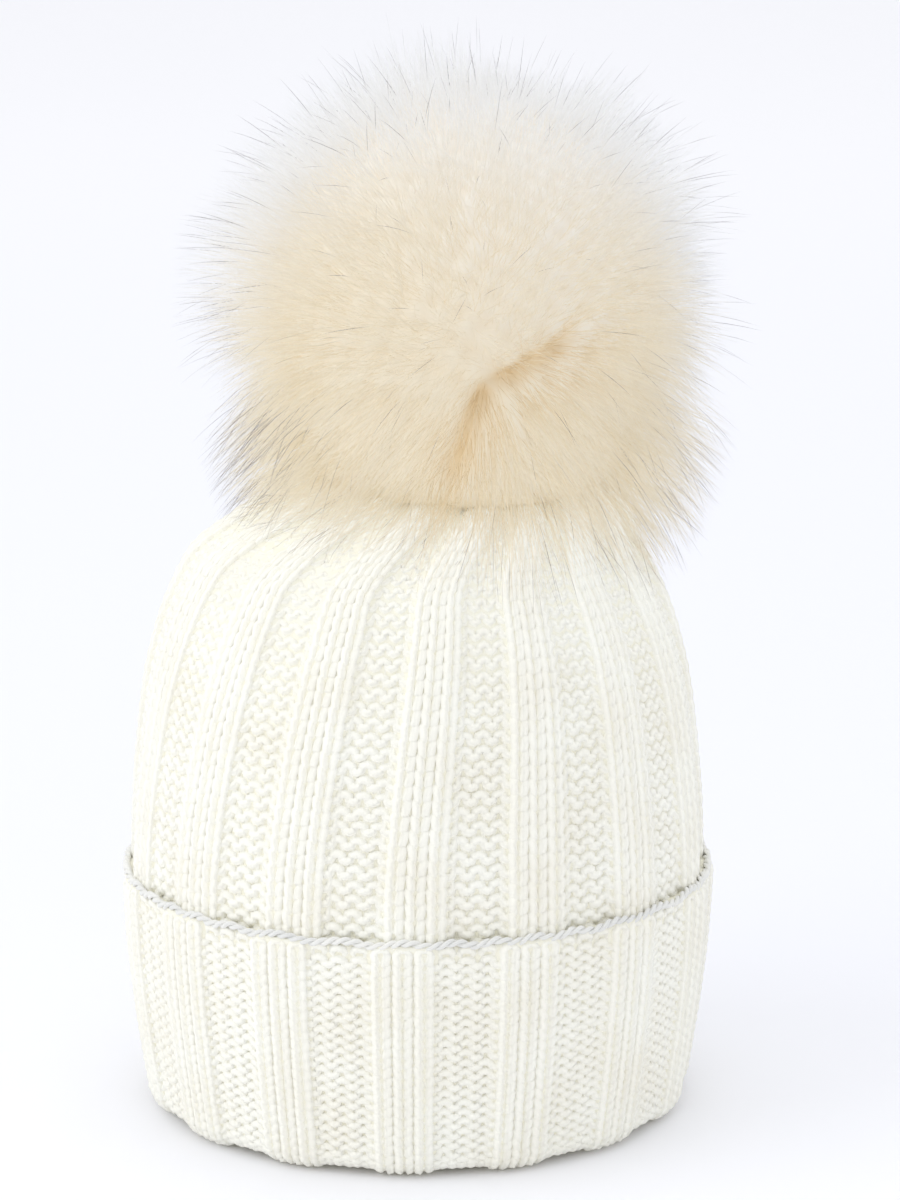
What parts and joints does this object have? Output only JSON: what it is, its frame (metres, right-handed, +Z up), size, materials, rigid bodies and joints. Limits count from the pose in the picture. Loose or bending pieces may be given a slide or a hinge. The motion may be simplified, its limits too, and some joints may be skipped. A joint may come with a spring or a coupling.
{
  "type": "pom pom beanie",
  "caption": "Ribbed knitted hat with a turned-up cuff and a large faux fur ball that snaps onto the gathered crown and turns on its snap.",
  "frame": {"origin": "on the surface the hat stands on, under the middle of the cuff's oval", "axes": "+Z up through the ball, -Y towards the front of the hat, +X to the right as seen from the front"},
  "size_m": [0.199, 0.185, 0.35],
  "materials": {
    "knit_yarn": "soft ivory acrylic yarn, ribbed knit",
    "edge_yarn": "white yarn of the bound-off edge",
    "faux_fur": "cream faux fur with white fringe and dark guard-hair tips",
    "backing_cloth": "knitted backing cloth, matt",
    "fibre_fill": "white polyester fibre",
    "felt": "pressed wool felt, matt",
    "satin": "woven satin ribbon, slight sheen",
    "nickel": "nickel-plated pressed brass"
  },
  "bodies": {
    "hat": {"knit_body": "knit_yarn", "knit_crown": "knit_yarn", "cuff": "knit_yarn", "cuff_edge": "edge_yarn", "back_seam": "knit_yarn", "cuff_seam": "knit_yarn", "care_label": "satin", "crown_gather_thread": "knit_yarn", "crown_patch": "felt", "snap_cap": "nickel", "snap_stud": "nickel"},
    "snap_ring": {"snap_ring": "nickel"},
    "pom": {"snap_socket": "nickel", "socket_cap": "nickel", "pom_base": "felt", "pom_drawstring": "backing_cloth", "pom_skin": "backing_cloth", "pom_stuffing": "fibre_fill", "pom_fur": "faux_fur"}
  },
  "joints": [
    {"name": "pom_pull_off", "type": "slide", "parent": "hat", "child": "snap_ring", "axis": [0, 0, 1], "range_m": [0, 0.07]},
    {"name": "pom_swivel", "type": "hinge", "parent": "snap_ring", "child": "pom", "pos_m": [0.016, 0, 0.2262], "axis": [0, 0, 1], "continuous": true}
  ]
}
